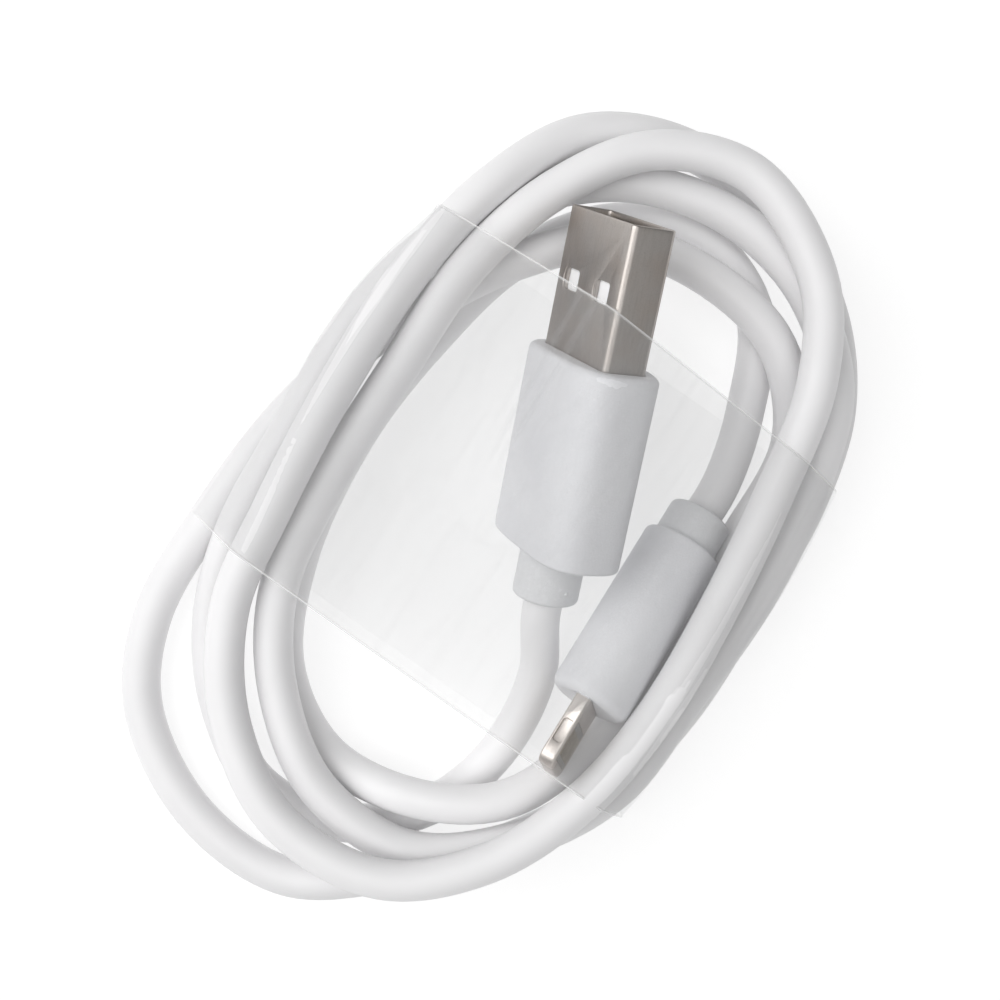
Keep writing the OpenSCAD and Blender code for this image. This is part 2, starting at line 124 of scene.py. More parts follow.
def through(points, step):
    """A smooth line through the points, resampled at even steps."""
    steps_between = 24
    p = np.array(points, float)
    p = np.vstack([2 * p[0] - p[1], p, 2 * p[-1] - p[-2]])
    line = []
    for i in range(1, len(p) - 2):
        gaps = [math.sqrt(np.linalg.norm(p[i + k] - p[i + k - 1])) for k in (0, 1, 2)]
        t0 = 0.0
        t1 = t0 + gaps[0]
        t2 = t0 + gaps[0] + gaps[1]
        t3 = t2 + gaps[2]
        for t in np.linspace(t1, t2, steps_between, endpoint=False):
            a1 = (t1 - t) / (t1 - t0) * p[i - 1] + (t - t0) / (t1 - t0) * p[i]
            a2 = (t2 - t) / (t2 - t1) * p[i] + (t - t1) / (t2 - t1) * p[i + 1]
            a3 = (t3 - t) / (t3 - t2) * p[i + 1] + (t - t2) / (t3 - t2) * p[i + 2]
            b1 = (t2 - t) / (t2 - t0) * a1 + (t - t0) / (t2 - t0) * a2
            b2 = (t3 - t) / (t3 - t1) * a2 + (t - t1) / (t3 - t1) * a3
            line.append((t2 - t) / (t2 - t1) * b1 + (t - t1) / (t2 - t1) * b2)
    line.append(p[-2])
    line = np.array(line)
    along = np.concatenate([[0], np.cumsum(np.linalg.norm(np.diff(line, axis=0), axis=1))])
    count = max(2, int(round(along[-1] / step)))
    marks = np.linspace(0, along[-1], count + 1)
    return np.column_stack([np.interp(marks, along, line[:, k]) for k in range(3)])


def settle(line, step, diameter, floor):
    """Pushes strands that lie in each other apart, a little at a time, as they would rest."""
    rounds = 70
    own_stretch = 3.2 * diameter  # points nearer than this along the cord don't push
    tied_length = 12 * MM  # held back at both ends, where the cord enters a plug
    smoothing = 2.5 * MM  # how far a push spreads along the cord
    reach = 8  # steps at which the spreading stops
    start, count = line.copy(), len(line)
    index = np.arange(count)
    near_self = np.abs(index[:, None] - index[None, :]) * step < own_stretch
    tied = int(tied_length / step)
    hold = np.clip(np.minimum(index, count - 1 - index) / tied - 0.5, 0, 1)[:, None]
    kernel = np.exp(-0.5 * (np.arange(-reach, reach + 1) * step / smoothing) ** 2)
    kernel /= kernel.sum()
    shift = np.zeros_like(line)
    for _ in range(rounds):
        now = start + shift
        apart = now[:, None, :] - now[None, :, :]
        gap = np.linalg.norm(apart, axis=2)
        lack = np.where(near_self | (gap >= diameter), 0.0, diameter - gap)
        push = (apart / np.maximum(gap, 1e-6)[:, :, None]) * (0.5 * lack)[:, :, None]
        deepest = np.abs(push).sum(axis=2).argmax(axis=1)
        shift += push[index, deepest]
        padded = np.pad(shift, ((reach, reach), (0, 0)), mode="edge")
        shift = np.column_stack(
            [np.convolve(padded[:, k], kernel, mode="valid") for k in range(3)]
        )
        shift *= hold
        low = start[:, 2] + shift[:, 2] < floor
        shift[low, 2] = floor - start[low, 2]
    return start + shift


def frames(line):
    """Headings of a line, and the two directions across it, level and upwards."""
    ahead = np.gradient(line, axis=0)
    ahead /= np.linalg.norm(ahead, axis=1)[:, None]
    level = np.cross(np.array([0, 0, 1.0]), ahead)
    level /= np.linalg.norm(level, axis=1)[:, None]
    return ahead, level, np.cross(ahead, level)


def link(name, mesh, place=None):
    """Puts a mesh in the scene as a piece, at a plug's place or at the origin."""
    piece = bpy.data.objects.new(name, mesh)
    bpy.context.scene.collection.objects.link(piece)
    if place is not None:
        piece.matrix_world = place
    return piece


def soften(piece, sharp):
    """Smooth shading, with sharp edges where faces meet at more than an angle in degrees."""
    for face in piece.data.polygons:
        face.use_smooth = True
    piece.data.set_sharp_from_angle(angle=math.radians(sharp))


def make_mesh(name, verts, faces, place=None, sharp=SHARP_ANGLE):
    """A piece from corners and faces, with its normals outwards."""
    mesh = bpy.data.meshes.new(name)
    mesh.from_pydata([tuple(float(c) for c in v) for v in verts], [], faces)
    b = bmesh.new()
    b.from_mesh(mesh)
    bmesh.ops.recalc_face_normals(b, faces=b.faces)
    b.to_mesh(mesh)
    b.free()
    piece = link(name, mesh, place)
    soften(piece, sharp)
    return piece


def skin(rings, sides):
    """Faces of a closed rod whose corners come ring by ring, with its two end caps last."""
    faces = []
    for i in range(rings - 1):
        for k in range(sides):
            a = i * sides + k
            b = i * sides + (k + 1) % sides
            faces.append((a, b, b + sides, a + sides))
    last = (rings - 1) * sides
    faces.append(tuple(range(sides - 1, -1, -1)))
    faces.append(tuple(range(last, last + sides)))
    return faces


def tube(name, line, radius, sides):
    """A closed round rod along the line."""
    _, level, up = frames(line)
    turn = 2 * math.pi * (np.arange(sides) + 0.5) / sides
    ring = (
        line[:, None, :]
        + radius * np.cos(turn)[None, :, None] * level[:, None, :]
        + radius * np.sin(turn)[None, :, None] * up[:, None, :]
    )
    return make_mesh(name, ring.reshape(-1, 3), skin(len(line), sides), sharp=60)


def stand_for(piece, node):
    """Fixes a piece to the part's one body, in place of a CAD node."""
    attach(piece, "root")
    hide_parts(node)


def add_to_part(piece):
    """Fixes a piece that no CAD node stands for to the part's one body."""
    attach(piece, "root")


STEP = 1.0 * MM
STRAND_SPACING = 3.82 * MM
CORD_LOWEST = 1.92 * MM
knots = np.vstack(
    [on_plug(USB, -x) for x in USB_CORD_STATIONS]
    + [np.array(p) * MM for p in ROUTE_MM]
    + [on_plug(PHONE, -x) for x in PHONE_CORD_STATIONS]
)
centre_line = settle(through(knots, STEP), STEP, STRAND_SPACING, CORD_LOWEST)

cord = tube("cord", centre_line, CORD_R, 28)
stand_for(cord, "cord_jacket")

BRAID_R = 1.38 * MM
braid = tube("cord_foil_and_braid", centre_line[1:-1:2], BRAID_R, 12)
stand_for(braid, "cord_shield")

WIRE_R = 0.43 * MM
WIRE_OFF_CENTRE = 0.49 * MM
USB_WIRE_END_X, USB_WIRE_BARE_X, USB_WIRE_Z = -21.2, -22.8, -0.65
PHONE_WIRE_END_X, PHONE_WIRE_BARE_X = -14.6, -16.2
PAD_Y, PAD_Z = 1.3, 0.95


def wire(name, node, quarter, usb_y, phone_y, phone_z):
    """One wire: from its place in the wide plug, along its quarter of the cord, to its pad."""
    line = centre_line[::3]
    _, level, up = frames(line)
    inside = line + WIRE_OFF_CENTRE * (quarter[0] * level + quarter[1] * up)
    usb_end = [on_plug(USB, x, usb_y, USB_WIRE_Z) for x in (USB_WIRE_END_X, USB_WIRE_BARE_X)]
    phone_end = [on_plug(PHONE, x, phone_y, phone_z) for x in (PHONE_WIRE_BARE_X, PHONE_WIRE_END_X)]
    route = through(np.vstack([usb_end, inside, phone_end]), 3 * STEP)
    piece = tube(name, route, WIRE_R, 8)
    stand_for(piece, node)
    return piece


wires = {
    "wire_red": wire("wire_5v", "vbus_wire", (1, 1), -3.5, PAD_Y, PAD_Z),
    "wire_white": wire(
        "wire_data_minus", "data_minus_wire", (-1, 1), -1, -PAD_Y, PAD_Z),
    "wire_green": wire(
        "wire_data_plus", "data_plus_wire", (1, -1), 1, PAD_Y, -PAD_Z),
    "wire_black": wire(
        "wire_ground", "ground_wire", (-1, -1), 3.5, -PAD_Y, -PAD_Z),
}

# ---- shapes of plug parts, in mm --------------------------------------------------------

CORNER_STEPS = 10
EDGE_STEPS = 5


def rounded(width, height, radius):
    """A rounded rectangle as a ring of points."""
    ring = []
    for sx, sy, first in ((1, 1, 0), (-1, 1, 90), (-1, -1, 180), (1, -1, 270)):
        for k in range(CORNER_STEPS + 1):
            a = math.radians(first + 90 * k / CORNER_STEPS)
            ring.append((sx * (width / 2 - radius) + radius * math.cos(a),
                         sy * (height / 2 - radius) + radius * math.sin(a)))
    return ring


def ring_of(radius):
    """A circle with as many points as a rounded rectangle has."""
    count = 4 * (CORNER_STEPS + 1)
    turn = [math.radians(45 + 360 * (i - CORNER_STEPS / 2) / count) for i in range(count)]
    return [(radius * math.cos(a), radius * math.sin(a)) for a in turn]


def round_edge(shape, end, edge, inwards):
    """Rings of a round edge, from the end of a body inwards; shape(inset) is the section."""
    rings = []
    for k in range(EDGE_STEPS + 1):
        t = math.radians(90 * k / EDGE_STEPS)
        rings.append((end + inwards * edge * (1 - math.cos(t)), shape(edge * (1 - math.sin(t)))))
    return rings


def body_sections(shape, near, far, near_edge, far_edge):
    """Rings of a body between two stations, with round edges at both ends."""
    return round_edge(shape, near, near_edge, 1) + round_edge(shape, far, far_edge, -1)[::-1]


def loft(name, sections, place):
    """A closed solid through rings, each a station behind the tip and a ring across it."""
    verts = [(-x * MM, y * MM, z * MM) for x, ring in sections for y, z in ring]
    return make_mesh(name, verts, skin(len(sections), len(sections[0][1])), place)


def applied(piece):
    """Turns a piece's modifiers into plain mesh."""
    graph = bpy.context.evaluated_depsgraph_get()
    mesh = bpy.data.meshes.new_from_object(piece.evaluated_get(graph))
    piece.modifiers.clear()
    piece.data = mesh
    soften(piece, SHARP_ANGLE)
    return piece


def bevel(piece, width, segments, angle):
    """Rounds the edges that turn more than an angle in degrees."""
    tool = piece.modifiers.new("bevel", "BEVEL")
    tool.width = width * MM
    tool.segments = segments
    tool.limit_method = "ANGLE"
    tool.angle_limit = math.radians(angle)
    return applied(piece)


def cut(piece, cutter):
    """Cuts one mesh out of another and removes the cutter."""
    tool = piece.modifiers.new("cut", "BOOLEAN")
    tool.operation = "DIFFERENCE"
    tool.solver = "EXACT"
    tool.object = cutter
    bpy.context.view_layer.update()
    applied(piece)
    bpy.data.objects.remove(cutter)


def face_cutter(near, far, y, z, width, depth, radius, place):
    """A round-cornered block between two stations that cuts through a face, along Z."""
    middle = (near + far) / 2
    ring = [(a - middle, b + y) for a, b in rounded(far - near, width, radius)]
    verts = []
    for level in (z - depth / 2, z + depth / 2):
        verts += [(a * MM, b * MM, level * MM) for a, b in ring]
    return make_mesh("cutter", verts, skin(2, len(ring)), place)


def edge_cutter(near, far, y, height, depth, radius, place):
    """A round-cornered block between two stations that cuts into a side edge, along Y."""
    middle = (near + far) / 2
    ring = [(a - middle, b) for a, b in rounded(far - near, height, radius)]
    verts = []
    for level in (y - depth / 2, y + depth / 2):
        verts += [(a * MM, level * MM, b * MM) for a, b in ring]
    return make_mesh("cutter", verts, skin(2, len(ring)), place)


# ---- wide plug --------------------------------------------------------------------------

SHELL_W, SHELL_H, SHELL_WALL, SHELL_L = 12.0, 4.5, 0.3, 18.75
SHELL_CORNER_R, SHELL_INNER_R = 0.62, 0.25
SHELL_STRAIGHT_FROM = 0.5
USB_GRIP_FROM, USB_GRIP_TO = 13.0, 31.5
USB_GRIP_HALF_W, USB_GRIP_HALF_H = 7.8, 4.3
USB_COLLAR_FROM, USB_COLLAR_TO = 30.0, 36.5
COLLAR_R = 3.2
WINDOW_FROM, WINDOW_TO, WINDOW_W, WINDOW_R = 5.5, 7.5, 2.3, 0.32
WINDOWS_Y = (-2.85, 2.85)
LIP_OFF_WINDOW, LIP_R, LIP_BULGE = 1.42, 0.09, 0.2
RIM_STEPS = 6


def shell_ring(inset):
    radius = max(SHELL_CORNER_R - inset, SHELL_INNER_R)
    return rounded(SHELL_W - 2 * inset, SHELL_H - 2 * inset, radius)


def make_shell():
    """The folded sheet of the shell: out along it, round the rim of the mouth, and back."""
    rings = [(x, shell_ring(0.0)) for x in (SHELL_L, USB_GRIP_FROM, SHELL_STRAIGHT_FROM)]
    half = SHELL_WALL / 2
    for k in range(RIM_STEPS + 1):
        t = math.radians(180 * k / RIM_STEPS)
        rings.append((half - half * math.sin(t), shell_ring(half - half * math.cos(t))))
    rings += [(x, shell_ring(SHELL_WALL)) for x in (SHELL_STRAIGHT_FROM, SHELL_L)]
    count = len(rings[0][1])
    verts = [(-x * MM, y * MM, z * MM) for x, ring in rings for y, z in ring]
    faces = []
    for i in range(len(rings)):
        j = (i + 1) % len(rings)
        for k in range(count):
            m = (k + 1) % count
            faces.append((i * count + k, i * count + m, j * count + m, j * count + k))
    piece = make_mesh("wide_plug_shell", verts, faces, USB)
    for y in WINDOWS_Y:
        cut(piece, face_cutter(WINDOW_FROM, WINDOW_TO, y, 0, WINDOW_W, 8, WINDOW_R, USB))
    return bevel(piece, 0.045, 2, 50)


def window_lip(number, y, z):
    """A thin raised bead beside a window, as a pressed spring leaves."""
    steps, sides = 12, 10
    start, end = np.array((-WINDOW_FROM, y, z)), np.array((-WINDOW_TO, y, z))
    verts = []
    for i in range(steps + 1):
        u = i / steps
        swell = math.sin(math.pi * u)
        middle = start * (1 - u) + end * u + np.array((0, LIP_BULGE, 0)) * swell
        r = LIP_R * (0.25 + 0.75 * swell**0.5)
        for k in range(sides):
            a = 2 * math.pi * k / sides
            verts.append((middle + r * np.array((0, math.cos(a), 0.9 * math.sin(a)))) * MM)
    return make_mesh(f"window_lip_{number}", verts, skin(steps + 1, sides), USB, sharp=70)


def usb_grip_ring(inset):
    """The grip's section: nearly a rounded rectangle, with every side a little crowned."""
    power = 2 / 3.3
    ring = []
    for y, z in ring_of(1.0):
        ring.append((math.copysign(abs(y) ** power, y) * (USB_GRIP_HALF_W - inset),
                     math.copysign(abs(z) ** power, z) * (USB_GRIP_HALF_H - inset)))
    return ring


def grip(name, place, seat, shape, near, far, near_edge, far_edge):
    """A grip: the rings of its seat round the metal, its body, and a recess for the collar."""
    sections = seat + body_sections(shape, near, far, near_edge, far_edge)
    sections += [(far, ring_of(3.3)), (far - 0.6, ring_of(3.25))]
    return loft(name, sections, place)


def collar(name, place, near, far):
    """A short sleeve behind a grip, with the cord's hole in its end."""
    hole_r = CORD_R / MM + 0.03
    sections = [(near, ring_of(COLLAR_R))]
    sections += round_edge(lambda inset: ring_of(COLLAR_R - inset), far, 0.45, -1)[::-1]
    sections += [(far, ring_of(CORD_R / MM + 0.12)), (far - 0.12, ring_of(hole_r)),
                 (far - 1.5, ring_of(hole_r))]
    return loft(name, sections, place)


def make_gate_mark():
    """The small gate mark of the moulding: a low dome on the round collar."""
    rings, sides = 5, 20
    station, dome_r, dome_h, sunk = 35.0, 0.24, 0.16, 0.05
    round_collar = math.radians(187)
    out = np.array([0, math.cos(round_collar), math.sin(round_collar)])
    across = np.array([0, -math.sin(round_collar), math.cos(round_collar)])
    along = np.array([1, 0, 0])
    verts = []
    for i in range(rings + 1):
        t = math.radians(90 * i / rings)
        r = dome_r * math.cos(t)
        middle = np.array([-station, 0, 0]) + out * (COLLAR_R + dome_h * math.sin(t) - sunk)
        for k in range(sides):
            a = 2 * math.pi * k / sides
            verts.append((middle + r * math.cos(a) * along + r * math.sin(a) * across) * MM)
    # the dome closes in a point, so it has no cap there
    piece = make_mesh("collar_gate_mark", verts, skin(rings + 1, sides)[:-1], USB, sharp=80)
    b = bmesh.new()
    b.from_mesh(piece.data)
    bmesh.ops.remove_doubles(b, verts=b.verts, dist=1e-7)
    b.to_mesh(piece.data)
    b.free()
    return piece


shell = make_shell()
stand_for(shell, "usb_shell")

shell_lips = []
for face in (1, -1):
    for window_y in WINDOWS_Y:
        lip = window_lip(len(shell_lips), window_y + LIP_OFF_WINDOW, face * SHELL_H / 2)
        add_to_part(lip)
        shell_lips.append(lip)

USB_SEAT = [
    (14.0, rounded(12.12, 4.62, 0.66)),
    (13.12, rounded(12.12, 4.62, 0.66)),
    (13.0, rounded(12.3, 4.8, 0.75)),
]
usb_grip = grip(
    "wide_plug_grip", USB, USB_SEAT, usb_grip_ring, USB_GRIP_FROM, USB_GRIP_TO, 0.65, 0.4)
stand_for(usb_grip, "usb_overmould")

usb_collar = collar("wide_plug_collar", USB, USB_COLLAR_FROM, USB_COLLAR_TO)
stand_for(usb_collar, "usb_strain_relief")

gate_mark = make_gate_mark()
add_to_part(gate_mark)

# ---- phone plug -------------------------------------------------------------------------

PHONE_GRIP_R = 4.0
PHONE_GRIP_FROM, PHONE_GRIP_TO = 7.1, 25.3
PHONE_COLLAR_FROM, PHONE_COLLAR_TO = 23.6, 28.9
TAB_W, TAB_T, TAB_L, TAB_TIP_R = 6.7, 1.5, 7.8, 1.1
TAB_CORNER_STEPS = 8
NOTCH_FROM, NOTCH_TO, NOTCH_H, NOTCH_DEPTH, NOTCH_R = 2.2, 4.6, 0.98, 0.38, 0.3
FIELD_FROM, FIELD_TO, FIELD_W, FIELD_DEPTH, FIELD_R = 0.9, 4.9, 5.6, 0.12, 0.35


def phone_grip_ring(inset):
    return ring_of(PHONE_GRIP_R - inset)


def tab_outline():
    """Outline of the tab, from its tip: round corners at the tip, square ones at the back."""
    corner = []
    for k in range(TAB_CORNER_STEPS + 1):
        a = math.radians(90 * k / TAB_CORNER_STEPS)
        corner.append((-TAB_TIP_R + TAB_TIP_R * math.cos(a),
                       TAB_W / 2 - TAB_TIP_R + TAB_TIP_R * math.sin(a)))
    mirrored = [(x, -y) for x, y in reversed(corner)]
    return corner + [(-TAB_L, TAB_W / 2), (-TAB_L, -TAB_W / 2)] + mirrored


def make_tab():
    """The flat steel tab: notched at both edges, with a field for the contacts on each face."""
    b = bmesh.new()
    low = [b.verts.new((x * MM, y * MM, -TAB_T / 2 * MM)) for x, y in tab_outline()]
    base = b.faces.new(low)
    lifted = bmesh.ops.extrude_face_region(b, geom=[base])
    for corner in lifted["geom"]:
        if isinstance(corner, bmesh.types.BMVert):
            corner.co.z = TAB_T / 2 * MM
    bmesh.ops.recalc_face_normals(b, faces=b.faces)
    mesh = bpy.data.meshes.new("phone_plug_tab")
    b.to_mesh(mesh)
    b.free()
    piece = bevel(link("phone_plug_tab", mesh, PHONE), 0.2, 3, 40)
    for way in (1, -1):
        cut(piece, edge_cutter(NOTCH_FROM, NOTCH_TO, way * TAB_W / 2, NOTCH_H, 2 * NOTCH_DEPTH,
                               NOTCH_R, PHONE))
        cut(piece, face_cutter(FIELD_FROM, FIELD_TO, 0, way * TAB_T / 2, FIELD_W, 2 * FIELD_DEPTH,
                               FIELD_R, PHONE))
    return bevel(piece, 0.09, 2, 50)


PHONE_SEAT = [
    (8.1, rounded(6.78, 1.58, 0.4)),
    (7.2, rounded(6.78, 1.58, 0.4)),
    (7.1, rounded(6.95, 1.75, 0.45)),
]
phone_grip = grip(
    "phone_plug_grip", PHONE, PHONE_SEAT, phone_grip_ring, PHONE_GRIP_FROM, PHONE_GRIP_TO,
    1.05, 0.45)
stand_for(phone_grip, "phone_overmould")

phone_collar = collar("phone_plug_collar", PHONE, PHONE_COLLAR_FROM, PHONE_COLLAR_TO)
stand_for(phone_collar, "phone_strain_relief")

tab = make_tab()
stand_for(tab, "phone_tab_frame")

# ---- film band --------------------------------------------------------------------------

FILM_X, FILM_W, FILM_T = 2.5, 37.5, 0.09
FILM_STATIONS, FILM_SIDES, FILM_GAP = 38, 120, 0.07
FILM_MIDDLE = np.array([0.0, 6.0])
NO_LIMIT = 1e9


def held_points():
    """What the film is drawn round, in mm: points on the cord and plugs, and their radius."""
    points = [(p / MM, CORD_R / MM) for p in centre_line]
    for x in np.arange(0.5, USB_COLLAR_TO, 1.0):
        if x < USB_GRIP_FROM:
            ring = shell_ring(0)
        elif x < USB_GRIP_TO:
            ring = usb_grip_ring(0)
        else:
            ring = ring_of(COLLAR_R)
        points += [(on_plug(USB, -x, y, z) / MM, 0.0) for y, z in ring[::2]]
    for x in np.arange(7.5, 28.5, 1.0):
        ring = ring_of(PHONE_GRIP_R if x < PHONE_GRIP_TO else COLLAR_R)
        points += [(on_plug(PHONE, -x, y, z) / MM, 0.0) for y, z in ring[::2]]
    return np.array([p for p, _ in points]), np.array([r for _, r in points])


def film_support(stations, normal):
    """How far out the held things stand at each station, in each direction across the film."""
    points, radius = held_points()
    window = 0.9  # mm to each side of a station
    support = []
    for x in stations:
        inside = np.abs(points[:, 0] - x) < window
        flat = points[inside][:, 1:] - FILM_MIDDLE
        support.append((flat @ normal.T + radius[inside][:, None]).max(axis=0) + FILM_GAP)
    support = np.array(support)
    padded = np.pad(support, ((1, 1), (0, 0)), mode="edge")
    support = np.max([padded[k : k + len(stations)] for k in range(3)], axis=0)
    for _ in range(2):
        padded = np.pad(support, ((1, 1), (0, 0)), mode="edge")
        support = (padded[:-2] + 2 * padded[1:-1] + padded[2:]) / 4
    return support


def film_reach(stations, way):
    """How far the stretched film stands from its middle, station by station and way by way."""
    turn = np.radians(np.arange(0, 360, 1.5))
    normal = np.column_stack([np.cos(turn), np.sin(turn)])
    support = film_support(stations, normal)
    facing = (way @ normal.T)[None]
    least = 0.04  # directions nearly square to a way don't limit it
    reach = np.where(facing > least, support[:, None, :] / np.maximum(facing, least), NO_LIMIT)
    steepest = 0.05
    down = np.maximum(-way[:, 1], steepest)
    above_floor = FILM_MIDDLE[1] - 0.05
    to_floor = np.where(way[:, 1] < -steepest, above_floor / down, NO_LIMIT)
    return np.minimum(reach.min(axis=2), to_floor[None])


def make_film():
    """The film: an outer and an inner sheet, joined at both edges of the band."""
    half = FILM_W / 2 - 0.03
    stations = np.linspace(FILM_X - half, FILM_X + half, FILM_STATIONS + 1)
    count = FILM_SIDES
    angles = np.radians(np.arange(count) * 360 / count + 1.5)
    way = np.column_stack([np.cos(angles), np.sin(angles)])
    reach = film_reach(stations, way)
    verts = []
    for depth in (0.0, FILM_T):
        for x, row in zip(stations, reach):
            for k in range(count):
                y, z = FILM_MIDDLE + way[k] * (row[k] - depth)
                verts.append((x * MM, y * MM, z * MM))
    faces = []
    sheet = len(stations) * count
    for s in range(len(stations) - 1):
        for i in range(count):
            a = s * count + i
            b = s * count + (i + 1) % count
            faces.append((a, b, b + count, a + count))
            faces.append((sheet + a, sheet + a + count, sheet + b + count, sheet + b))
    for s in (0, len(stations) - 1):
        for i in range(count):
            a = s * count + i
            b = s * count + (i + 1) % count
            faces.append((a, sheet + a, sheet + b, b))
    return make_mesh("film_wrap", verts, faces, sharp=80)


film = make_film()
stand_for(film, "film_band")

# ---- materials --------------------------------------------------------------------------


class Paint:
    """A material with a Principled shader and the nodes that feed it."""

    def __init__(self, name, colour, roughness, metallic=0.0, **sockets):
        self.material = bpy.data.materials.new(name)
        self.material.use_nodes = True
        self.nodes = self.material.node_tree.nodes
        self.links = self.material.node_tree.links
        self.shader = self.nodes["Principled BSDF"]
        self.shader.inputs["Base Color"].default_value = (*colour, 1)
        self.shader.inputs["Roughness"].default_value = roughness
        self.shader.inputs["Metallic"].default_value = metallic
        for socket, value in sockets.items():
            self.shader.inputs[socket.replace("_", " ")].default_value = value
        coords = self.nodes.new("ShaderNodeTexCoord")
        self.place = coords.outputs["Object"]

    def stretched(self, scale):
        """The piece's own coordinates, scaled along each axis."""
        node = self.nodes.new("ShaderNodeMapping")
        node.inputs["Scale"].default_value = scale
        self.links.new(self.place, node.inputs["Vector"])
        return node.outputs["Vector"]

    def noise(self, scale, detail=3.0, rough=0.55, vector=None, distortion=0.0):
        """Noise; its scale is in waves to the metre."""
        node = self.nodes.new("ShaderNodeTexNoise")
        node.inputs["Scale"].default_value = scale
        node.inputs["Detail"].default_value = detail
        node.inputs["Roughness"].default_value = rough
        node.inputs["Distortion"].default_value = distortion
        self.links.new(vector or self.place, node.inputs["Vector"])
        return node.outputs["Fac"]

    def cells(self, scale):
        """Distance from the middle of the nearest cell."""
        node = self.nodes.new("ShaderNodeTexVoronoi")
        node.inputs["Scale"].default_value = scale
        self.links.new(self.place, node.inputs["Vector"])
        return node.outputs["Distance"]

    def axes(self):
        """The X, Y and Z of the piece's own coordinates."""
        node = self.nodes.new("ShaderNodeSeparateXYZ")
        self.links.new(self.place, node.inputs["Vector"])
        return node.outputs["X"], node.outputs["Y"], node.outputs["Z"]

    def ranged(self, value, span, result):
        """A value in a span, moved to the same part of the result's span and held in it."""
        node = self.nodes.new("ShaderNodeMapRange")
        for socket, number in zip(("From Min", "From Max", "To Min", "To Max"), (*span, *result)):
            node.inputs[socket].default_value = number
        self.links.new(value, node.inputs["Value"])
        return node.outputs["Result"]

    def mixed(self, factor, first, second):
        """Two colours, or outputs with colours, mixed."""
        node = self.nodes.new("ShaderNodeMix")
        node.data_type = "RGBA"
        self.links.new(factor, node.inputs["Factor"])
        for socket, colour in ((node.inputs["A"], first), (node.inputs["B"], second)):
            if isinstance(colour, tuple):
                socket.default_value = (*colour, 1)
            else:
                self.links.new(colour, socket)
        return node.outputs["Result"]

    def maths(self, operation, first, second=0):
        """One sum of two values, each a number or an output."""
        node = self.nodes.new("ShaderNodeMath")
        node.operation = operation
        for socket, value in ((node.inputs[0], first), (node.inputs[1], second)):
            if isinstance(value, (int, float)):
                socket.default_value = value
            else:
                self.links.new(value, socket)
        return node.outputs["Value"]

    def colour(self, output):
        self.links.new(output, self.shader.inputs["Base Color"])

    def roughness(self, output):
        self.links.new(output, self.shader.inputs["Roughness"])

    def alpha(self, output):
        self.links.new(output, self.shader.inputs["Alpha"])

    def bump(self, height, distance, strength):
        """Adds a bump, over any that the material already has."""
        node = self.nodes.new("ShaderNodeBump")
        node.inputs["Strength"].default_value = strength
        node.inputs["Distance"].default_value = distance
        self.links.new(height, node.inputs["Height"])
        before = self.shader.inputs["Normal"].links
        if before:
            self.links.new(before[0].from_socket, node.inputs["Normal"])
        self.links.new(node.outputs["Normal"], self.shader.inputs["Normal"])


def jacket_paint():
    """The cord's smooth soft white, a little cloudy."""
    paint = Paint("jacket_soft_white", (0.82, 0.815, 0.82), 0.42, Specular_IOR_Level=0.4)
    cloudy = paint.ranged(paint.noise(60, 4), (0.35, 0.7), (0, 1))
    paint.colour(paint.mixed(cloudy, (0.825, 0.82, 0.825), (0.775, 0.77, 0.777)))
    paint.roughness(paint.ranged(paint.noise(420, 3), (0.3, 0.7), (0.36, 0.5)))
    paint.bump(paint.noise(900, 3, 0.5), 0.02 * MM, 0.35)
    paint.bump(paint.noise(160, 2, 0.4), 0.06 * MM, 0.25)
    return paint.material


def grip_paint(name, light, dark):
    """The grips' matt plastic, with a fine grain of dark specks and pale glints."""
    paint = Paint(name, light, 0.55, Specular_IOR_Level=0.35)
    speck_colour = tuple(c * 0.88 for c in dark)
    glint_colour = (0.9, 0.9, 0.91)
    cloudy = paint.ranged(paint.noise(120, 4), (0.35, 0.7), (0, 1))
    specks = paint.ranged(paint.noise(5200, 2, 0.6), (0.55, 0.75), (0, 0.45))
    glints = paint.ranged(paint.noise(3600, 2, 0.6), (0.6, 0.74), (0, 0.5))
    base = paint.mixed(cloudy, light, dark)
    speckled = paint.mixed(specks, base, speck_colour)
    paint.colour(paint.mixed(glints, speckled, glint_colour))
    paint.roughness(paint.ranged(paint.noise(2600, 2), (0.3, 0.7), (0.46, 0.62)))
    paint.bump(paint.noise(4200, 3, 0.6), 0.04 * MM, 0.7)
    return paint.material


def steel_paint(name, light, dark, tint, smoothest, roughest):
    """Plated sheet: cloudy tint, a grain drawn along the plug, and fine specks and scuffs."""
    paint = Paint(name, light, smoothest, 1.0)
    cloudy = paint.ranged(paint.noise(190, 5, 0.6), (0.4, 0.72), (0, 1))
    grain_noise = paint.noise(1.0, 3, 0.5, paint.stretched((500, 5200, 5200)))
    grain = paint.ranged(grain_noise, (0.45, 0.9), (0, 0.45))
    specks = paint.ranged(paint.noise(6500, 2, 0.6), (0.52, 0.72), (0, 0.4))
    drawn = paint.mixed(grain, paint.mixed(cloudy, light, tint), dark)
    paint.colour(paint.mixed(specks, drawn, dark))
    scuffs = paint.noise(1.0, 2, 0.5, paint.stretched((900, 7000, 3500)))
    paint.roughness(paint.ranged(scuffs, (0.3, 0.75), (smoothest, roughest)))
    paint.bump(paint.noise(3800, 2, 0.5), 0.012 * MM, 0.35)
    paint.bump(paint.noise(420, 3, 0.5), 0.03 * MM, 0.25)
    return paint.material


